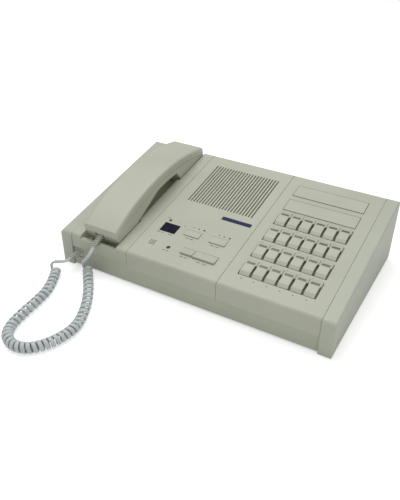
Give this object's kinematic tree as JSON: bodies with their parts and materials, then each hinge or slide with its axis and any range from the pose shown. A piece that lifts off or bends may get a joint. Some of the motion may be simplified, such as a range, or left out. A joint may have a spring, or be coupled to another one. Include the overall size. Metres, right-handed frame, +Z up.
{
  "type": "desk intercom",
  "caption": "Sloping desk intercom console with lift-off handset, curly cord, loudspeaker grille, small display, function buttons, lamp keys and label windows.",
  "frame": {"origin": "on the table, under the centre of the console's footprint (the cord and its plugs not counted)", "axes": "+X towards the console's right as the user sees it, +Y away from the user towards the high rear edge, +Z up"},
  "size_m": [0.364, 0.3879, 0.1034],
  "materials": {
    "case_plastic": "fine satin texture",
    "tray_plastic": "fine satin texture",
    "handset_plastic": "smooth satin",
    "key_plastic": "smooth satin",
    "key_housing_plastic": "smooth satin",
    "dark_plastic": "satin",
    "lamp_lens": "glossy",
    "window_plastic": "glossy",
    "badge_paint": "satin paint",
    "cover_plastic": "glossy film",
    "label_card": "matte",
    "foot_rubber": "matte",
    "speaker_metal": "matte",
    "board_laminate": "satin",
    "screw_steel": "plated",
    "capsule_metal": "satin",
    "cord_plastic": "smooth satin",
    "plug_plastic": "smooth satin"
  },
  "bodies": {
    "console": {"base_tray": "tray_plastic", "left_cheek": "case_plastic", "right_cheek": "case_plastic", "cradle_housing": "case_plastic", "control_housing": "case_plastic", "keypad_housing": "case_plastic", "rubber_feet": "foot_rubber", "loudspeaker": "speaker_metal", "circuit_boards": "board_laminate", "display_window": "window_plastic", "badge_plate": "badge_paint", "label_covers": "cover_plastic", "label_cards": "label_card", "indicator_lamps": "lamp_lens", "key_switches": "key_housing_plastic", "microphone_capsule": "capsule_metal", "console_jack": "dark_plastic", "hook_switch": "dark_plastic", "case_screws": "screw_steel", "rear_sockets": "dark_plastic", "cord_lead_console": "cord_plastic", "cord_curls": "cord_plastic", "cord_lead_handset": "cord_plastic", "plug_console": "plug_plastic"},
    "handset": {"handset_upper_shell": "handset_plastic", "handset_lower_shell": "handset_plastic", "handset_receiver": "capsule_metal", "handset_microphone": "capsule_metal", "handset_jack": "dark_plastic", "handset_screws": "screw_steel", "plug_handset": "plug_plastic"},
    "hook_plunger": {"hook_plunger": "dark_plastic"},
    "function_button_1": {"function_button_1": "key_plastic"},
    "function_button_2": {"function_button_2": "key_plastic"},
    "function_button_3": {"function_button_3": "key_plastic"},
    "function_button_4": {"function_button_4": "key_plastic"},
    "station_key_01": {"station_key_01": "key_plastic"},
    "station_key_02": {"station_key_02": "key_plastic"},
    "station_key_03": {"station_key_03": "key_plastic"},
    "station_key_04": {"station_key_04": "key_plastic"},
    "station_key_05": {"station_key_05": "key_plastic"},
    "station_key_06": {"station_key_06": "key_plastic"},
    "station_key_07": {"station_key_07": "key_plastic"},
    "station_key_08": {"station_key_08": "key_plastic"},
    "station_key_09": {"station_key_09": "key_plastic"},
    "station_key_10": {"station_key_10": "key_plastic"},
    "station_key_11": {"station_key_11": "key_plastic"},
    "station_key_12": {"station_key_12": "key_plastic"},
    "station_key_13": {"station_key_13": "key_plastic"},
    "station_key_14": {"station_key_14": "key_plastic"},
    "station_key_15": {"station_key_15": "key_plastic"},
    "station_key_16": {"station_key_16": "key_plastic"},
    "station_key_17": {"station_key_17": "key_plastic"},
    "station_key_18": {"station_key_18": "key_plastic"},
    "station_key_19": {"station_key_19": "key_plastic"},
    "station_key_20": {"station_key_20": "key_plastic"},
    "station_key_21": {"station_key_21": "key_plastic"},
    "station_key_22": {"station_key_22": "key_plastic"},
    "station_key_23": {"station_key_23": "key_plastic"},
    "station_key_24": {"station_key_24": "key_plastic"}
  },
  "joints": [
    {"name": "handset_lift", "type": "slide", "parent": "console", "child": "handset", "axis": [0, 0, 1], "range_m": [0, 0.06], "deforming": ["cord_lead_handset"]},
    {"name": "hook_rise", "type": "slide", "parent": "console", "child": "hook_plunger", "axis": [0, -0.1762, 0.9843], "range_m": [0, 0.003]},
    {"name": "button_press_1", "type": "slide", "parent": "console", "child": "function_button_1", "axis": [0, 0.1762, -0.9843], "range_m": [0, 0.0015], "stiffness_N_per_m": 300},
    {"name": "button_press_2", "type": "slide", "parent": "console", "child": "function_button_2", "axis": [0, 0.1762, -0.9843], "range_m": [0, 0.0015], "stiffness_N_per_m": 300},
    {"name": "button_press_3", "type": "slide", "parent": "console", "child": "function_button_3", "axis": [0, 0.1762, -0.9843], "range_m": [0, 0.0015], "stiffness_N_per_m": 300},
    {"name": "button_press_4", "type": "slide", "parent": "console", "child": "function_button_4", "axis": [0, 0.1762, -0.9843], "range_m": [0, 0.0015], "stiffness_N_per_m": 300},
    {"name": "key_press_01", "type": "slide", "parent": "console", "child": "station_key_01", "axis": [0, 0.1762, -0.9843], "range_m": [0, 0.002], "stiffness_N_per_m": 200},
    {"name": "key_press_02", "type": "slide", "parent": "console", "child": "station_key_02", "axis": [0, 0.1762, -0.9843], "range_m": [0, 0.002], "stiffness_N_per_m": 200},
    {"name": "key_press_03", "type": "slide", "parent": "console", "child": "station_key_03", "axis": [0, 0.1762, -0.9843], "range_m": [0, 0.002], "stiffness_N_per_m": 200},
    {"name": "key_press_04", "type": "slide", "parent": "console", "child": "station_key_04", "axis": [0, 0.1762, -0.9843], "range_m": [0, 0.002], "stiffness_N_per_m": 200},
    {"name": "key_press_05", "type": "slide", "parent": "console", "child": "station_key_05", "axis": [0, 0.1762, -0.9843], "range_m": [0, 0.002], "stiffness_N_per_m": 200},
    {"name": "key_press_06", "type": "slide", "parent": "console", "child": "station_key_06", "axis": [0, 0.1762, -0.9843], "range_m": [0, 0.002], "stiffness_N_per_m": 200},
    {"name": "key_press_07", "type": "slide", "parent": "console", "child": "station_key_07", "axis": [0, 0.1762, -0.9843], "range_m": [0, 0.002], "stiffness_N_per_m": 200},
    {"name": "key_press_08", "type": "slide", "parent": "console", "child": "station_key_08", "axis": [0, 0.1762, -0.9843], "range_m": [0, 0.002], "stiffness_N_per_m": 200},
    {"name": "key_press_09", "type": "slide", "parent": "console", "child": "station_key_09", "axis": [0, 0.1762, -0.9843], "range_m": [0, 0.002], "stiffness_N_per_m": 200},
    {"name": "key_press_10", "type": "slide", "parent": "console", "child": "station_key_10", "axis": [0, 0.1762, -0.9843], "range_m": [0, 0.002], "stiffness_N_per_m": 200},
    {"name": "key_press_11", "type": "slide", "parent": "console", "child": "station_key_11", "axis": [0, 0.1762, -0.9843], "range_m": [0, 0.002], "stiffness_N_per_m": 200},
    {"name": "key_press_12", "type": "slide", "parent": "console", "child": "station_key_12", "axis": [0, 0.1762, -0.9843], "range_m": [0, 0.002], "stiffness_N_per_m": 200},
    {"name": "key_press_13", "type": "slide", "parent": "console", "child": "station_key_13", "axis": [0, 0.1762, -0.9843], "range_m": [0, 0.002], "stiffness_N_per_m": 200},
    {"name": "key_press_14", "type": "slide", "parent": "console", "child": "station_key_14", "axis": [0, 0.1762, -0.9843], "range_m": [0, 0.002], "stiffness_N_per_m": 200},
    {"name": "key_press_15", "type": "slide", "parent": "console", "child": "station_key_15", "axis": [0, 0.1762, -0.9843], "range_m": [0, 0.002], "stiffness_N_per_m": 200},
    {"name": "key_press_16", "type": "slide", "parent": "console", "child": "station_key_16", "axis": [0, 0.1762, -0.9843], "range_m": [0, 0.002], "stiffness_N_per_m": 200},
    {"name": "key_press_17", "type": "slide", "parent": "console", "child": "station_key_17", "axis": [0, 0.1762, -0.9843], "range_m": [0, 0.002], "stiffness_N_per_m": 200},
    {"name": "key_press_18", "type": "slide", "parent": "console", "child": "station_key_18", "axis": [0, 0.1762, -0.9843], "range_m": [0, 0.002], "stiffness_N_per_m": 200},
    {"name": "key_press_19", "type": "slide", "parent": "console", "child": "station_key_19", "axis": [0, 0.1762, -0.9843], "range_m": [0, 0.002], "stiffness_N_per_m": 200},
    {"name": "key_press_20", "type": "slide", "parent": "console", "child": "station_key_20", "axis": [0, 0.1762, -0.9843], "range_m": [0, 0.002], "stiffness_N_per_m": 200},
    {"name": "key_press_21", "type": "slide", "parent": "console", "child": "station_key_21", "axis": [0, 0.1762, -0.9843], "range_m": [0, 0.002], "stiffness_N_per_m": 200},
    {"name": "key_press_22", "type": "slide", "parent": "console", "child": "station_key_22", "axis": [0, 0.1762, -0.9843], "range_m": [0, 0.002], "stiffness_N_per_m": 200},
    {"name": "key_press_23", "type": "slide", "parent": "console", "child": "station_key_23", "axis": [0, 0.1762, -0.9843], "range_m": [0, 0.002], "stiffness_N_per_m": 200},
    {"name": "key_press_24", "type": "slide", "parent": "console", "child": "station_key_24", "axis": [0, 0.1762, -0.9843], "range_m": [0, 0.002], "stiffness_N_per_m": 200}
  ],
  "couplings": [
    {"joint": "hook_rise", "follows": "handset_lift", "ratio": 0.05}
  ]
}
